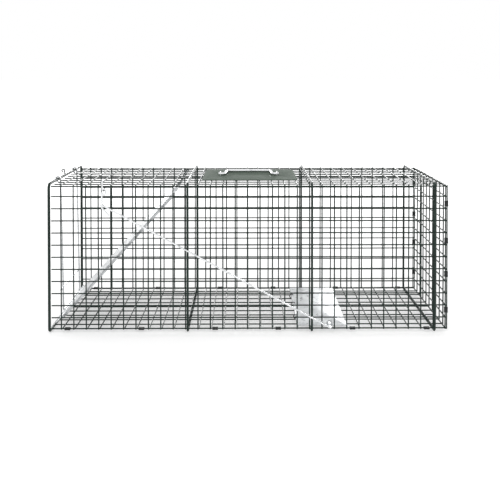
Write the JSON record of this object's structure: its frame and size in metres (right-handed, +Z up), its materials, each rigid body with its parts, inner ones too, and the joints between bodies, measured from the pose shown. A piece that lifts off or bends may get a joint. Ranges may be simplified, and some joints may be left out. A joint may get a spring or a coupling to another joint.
{
  "type": "live catch trap",
  "caption": "Long wire-mesh cage trap with a slanted drop door, wire lock bail, trigger pan linked by a side rod, and a folding carry handle on a guard plate.",
  "frame": {"origin": "on the ground under the middle of the cage", "axes": "+X from the door end to the closed end, +Z up, the trigger rod on the -Y side"},
  "size_m": [0.8226, 0.2723, 0.3189],
  "materials": {
    "green_coat": "satin",
    "plate_coat": "satin",
    "galvanised": "satin",
    "ring_black": "satin"
  },
  "bodies": {
    "cage": {"front_hoop": "green_coat", "middle_hoop_front": "green_coat", "middle_hoop_rear": "green_coat", "rear_hoop": "green_coat", "near_side_mesh": "green_coat", "far_side_mesh": "green_coat", "top_mesh": "green_coat", "floor_mesh": "green_coat", "rear_mesh": "green_coat", "door_hinge_rod": "galvanised", "hinge_rod_cap_near": "galvanised", "hinge_rod_cap_far": "galvanised", "handle_guard_plate": "plate_coat", "handle_staple_left": "galvanised", "handle_staple_right": "galvanised", "lever_pivot_wire": "green_coat", "front_catch_hook": "green_coat", "floor_clip_near_1": "ring_black", "floor_clip_near_2": "ring_black", "floor_clip_near_3": "ring_black", "floor_clip_near_4": "ring_black", "floor_clip_near_5": "ring_black", "floor_clip_near_6": "ring_black", "floor_clip_far_1": "ring_black", "floor_clip_far_2": "ring_black", "floor_clip_far_3": "ring_black", "floor_clip_far_4": "ring_black", "floor_clip_far_5": "ring_black", "floor_clip_far_6": "ring_black", "rear_clip_near_1": "ring_black", "rear_clip_near_2": "ring_black", "rear_clip_near_3": "ring_black", "rear_clip_near_4": "ring_black", "rear_clip_far_1": "ring_black", "rear_clip_far_2": "ring_black", "rear_clip_far_3": "ring_black", "rear_clip_far_4": "ring_black", "top_clip": "ring_black"},
    "door": {"door_panel": "galvanised"},
    "bail": {"lock_bail": "galvanised", "lock_bail_cross_wire": "galvanised"},
    "lever": {"hook_lever": "galvanised"},
    "link_rod": {"trigger_rod": "galvanised"},
    "pan": {"trigger_pan": "galvanised", "pan_ring_1": "ring_black", "pan_ring_2": "ring_black", "pan_ring_3": "ring_black", "pan_link_loop": "galvanised"},
    "handle": {"carry_handle": "galvanised"}
  },
  "joints": [
    {"name": "door_hinge", "type": "hinge", "parent": "cage", "child": "door", "pos_m": [-0.14859, 0, 0.29314], "axis": [0, 1, 0], "range_deg": [0, 45]},
    {"name": "bail_swing", "type": "hinge", "parent": "cage", "child": "bail", "pos_m": [-0.4064, 0, 0.30406], "axis": [0, 1, 0], "range_deg": [0, 88]},
    {"name": "pan_tilt", "type": "hinge", "parent": "cage", "child": "pan", "pos_m": [0.1016, 0, 0.00612], "axis": [0, -1, 0], "range_deg": [0, 10]},
    {"name": "lever_pivot", "type": "hinge", "parent": "cage", "child": "lever", "pos_m": [-0.29464, -0.134, 0.2906], "axis": [0, 1, 0], "range_deg": [0, 13.2]},
    {"name": "rod_pivot", "type": "hinge", "parent": "lever", "child": "link_rod", "pos_m": [-0.29774, -0.134, 0.26063], "axis": [0, -1, 0], "range_deg": [0, 14.6]},
    {"name": "handle_swing", "type": "hinge", "parent": "cage", "child": "handle", "pos_m": [0.00064, -0.012, 0.30656], "axis": [1, 0, 0], "range_deg": [0, 175]}
  ],
  "couplings": [
    {"joint": "bail_swing", "follows": "door_hinge", "ratio": 1.95},
    {"joint": "lever_pivot", "follows": "pan_tilt", "ratio": 1.31},
    {"joint": "rod_pivot", "follows": "pan_tilt", "ratio": 1.45}
  ]
}
